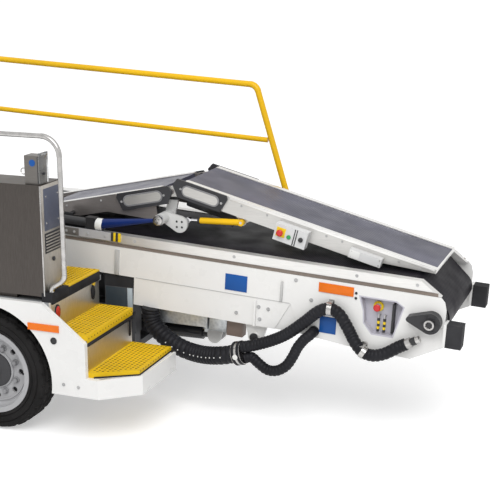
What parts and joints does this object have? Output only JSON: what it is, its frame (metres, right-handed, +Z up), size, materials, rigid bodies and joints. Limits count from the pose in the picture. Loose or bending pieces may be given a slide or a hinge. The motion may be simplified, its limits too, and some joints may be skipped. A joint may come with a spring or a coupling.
{
  "type": "baggage belt loader",
  "caption": "Self-propelled airport belt loader: wheeled chassis with driver steps and console, long lifting conveyor boom and a folding belt extension on top.",
  "frame": {"origin": "on the ground under the middle of the machine, at the bottom centre of its box", "axes": "+X forward, +Y to the left side, +Z up"},
  "size_m": [8.0737, 2.312, 2.2522],
  "materials": {
    "white_paint": "gloss",
    "frame_paint": "satin",
    "stainless": "brushed",
    "yellow_paint": "gloss",
    "tread_yellow": "rough grip",
    "tyre": "matte",
    "wheel_silver": "satin",
    "rubber": "matte",
    "aluminium": "anodised",
    "belt": "matte, fine ribbed",
    "black_plastic": "moulded",
    "grey_box": "moulded",
    "galvanised": "galvanised",
    "drum_steel": "turned",
    "chrome_rod": "polished",
    "black_paint": "gloss",
    "seat_vinyl": "grained",
    "amber_lens": "moulded lens",
    "deck_grey": "chequered",
    "blue_paint": "gloss",
    "hose": "corrugated"
  },
  "bodies": {
    "chassis": {"chassis_frame": "frame_paint", "frame_members": "frame_paint", "front_axle": "frame_paint", "rear_axle": "frame_paint", "pivot_tower": "white_paint", "boom_buffers": "rubber", "fender_right": "white_paint", "step_box": "white_paint", "step_risers": "stainless", "step_treads": "tread_yellow", "driver_floor": "deck_grey", "console_cabinet": "stainless", "console_top_box": "stainless", "grab_rail": "stainless", "driver_seat": "seat_vinyl", "steering_column": "black_plastic", "body_right": "white_paint", "body_left": "white_paint", "power_unit": "black_paint", "rear_bumper": "black_paint", "lamps": "amber_lens"},
    "hood": {"engine_hood": "white_paint"},
    "steer_right": {"knuckle_right": "frame_paint"},
    "steer_left": {"knuckle_left": "frame_paint"},
    "wheel_front_right": {"tyre_front_right": "tyre", "rim_front_right": "wheel_silver"},
    "wheel_front_left": {"tyre_front_left": "tyre", "rim_front_left": "wheel_silver"},
    "wheel_rear_right": {"tyre_rear_right": "tyre", "rim_rear_right": "wheel_silver"},
    "wheel_rear_left": {"tyre_rear_left": "tyre", "rim_rear_left": "wheel_silver"},
    "boom": {"boom_channels": "white_paint", "boom_rails": "aluminium", "main_belt": "belt", "belt_drums": "drum_steel", "deep_plates": "white_paint", "head_plates": "white_paint", "head_motor": "black_paint", "head_bumpers": "rubber", "control_panel": "grey_box", "sub_rails": "galvanised", "boom_hoses": "hose", "hose_clamps": "stainless", "handrail": "yellow_paint", "handrail_bars": "yellow_paint"},
    "lift_barrel": {"lift_barrels": "black_paint"},
    "lift_rod": {"lift_rods": "chrome_rod"},
    "extension": {"ext_carriage": "galvanised", "ext_rear_deck": "aluminium", "ext_rear_belt": "belt", "ext_rear_caps": "black_plastic", "support_arm": "blue_paint", "hinge_brackets": "stainless"},
    "front_deck": {"ext_front_deck": "aluminium", "ext_front_belt": "belt", "ext_front_caps": "black_plastic", "stop_boxes": "grey_box"},
    "tilt_cylinder": {"tilt_barrel": "yellow_paint"},
    "tilt_piston": {"tilt_rod": "chrome_rod"}
  },
  "joints": [
    {"name": "boom_lift", "type": "hinge", "parent": "chassis", "child": "boom", "pos_m": [-2.2, 0, 0.9], "axis": [0, -1, 0], "range_deg": [0, 20]},
    {"name": "lift_barrel_swing", "type": "hinge", "parent": "boom", "child": "lift_barrel", "pos_m": [2.46, 0, 0.43], "axis": [0, -1, 0], "range_deg": [0, 12.6]},
    {"name": "lift_rod_slide", "type": "slide", "parent": "lift_barrel", "child": "lift_rod", "axis": [-0.9999, 0, -0.0113], "range_m": [0, 0.3726]},
    {"name": "steer_right_turn", "type": "hinge", "parent": "chassis", "child": "steer_right", "pos_m": [1.4, -0.9395, 0.36], "axis": [0, 0, 1], "range_deg": [-35, 35]},
    {"name": "steer_left_turn", "type": "hinge", "parent": "chassis", "child": "steer_left", "pos_m": [1.4, 0.9395, 0.36], "axis": [0, 0, 1], "range_deg": [-35, 35]},
    {"name": "wheel_front_right_spin", "type": "hinge", "parent": "steer_right", "child": "wheel_front_right", "pos_m": [1.4, -1.0175, 0.36], "axis": [0, 1, 0], "continuous": true},
    {"name": "wheel_front_left_spin", "type": "hinge", "parent": "steer_left", "child": "wheel_front_left", "pos_m": [1.4, 1.0175, 0.36], "axis": [0, 1, 0], "continuous": true},
    {"name": "wheel_rear_right_spin", "type": "hinge", "parent": "chassis", "child": "wheel_rear_right", "pos_m": [-1.2, -1.0175, 0.36], "axis": [0, 1, 0], "continuous": true},
    {"name": "wheel_rear_left_spin", "type": "hinge", "parent": "chassis", "child": "wheel_rear_left", "pos_m": [-1.2, 1.0175, 0.36], "axis": [0, 1, 0], "continuous": true},
    {"name": "hood_open", "type": "hinge", "parent": "chassis", "child": "hood", "pos_m": [0.15, 0.505, 0.99], "axis": [1, 0, 0], "range_deg": [0, 70]},
    {"name": "extension_slide", "type": "slide", "parent": "boom", "child": "extension", "axis": [0.9984, 0, -0.0558], "range_m": [0, 1.2]},
    {"name": "front_deck_tilt", "type": "hinge", "parent": "extension", "child": "front_deck", "pos_m": [2.2, 0, 1.335], "axis": [0, -1, 0], "range_deg": [0, 25]},
    {"name": "tilt_barrel_swing", "type": "hinge", "parent": "front_deck", "child": "tilt_cylinder", "pos_m": [2.65, 0, 1.178], "axis": [0, -1, 0], "range_deg": [0, 3.54]},
    {"name": "tilt_rod_slide", "type": "slide", "parent": "tilt_cylinder", "child": "tilt_piston", "axis": [-0.9994, 0, -0.0348], "range_m": [0, 0.085]}
  ],
  "couplings": [
    {"joint": "lift_barrel_swing", "follows": "boom_lift", "ratio": 0.61995},
    {"joint": "lift_rod_slide", "follows": "boom_lift", "m_per_rad": 1.059},
    {"joint": "steer_left_turn", "follows": "steer_right_turn", "ratio": 1},
    {"joint": "tilt_barrel_swing", "follows": "front_deck_tilt", "ratio": 0.13764},
    {"joint": "tilt_rod_slide", "follows": "front_deck_tilt", "m_per_rad": 0.19017}
  ]
}
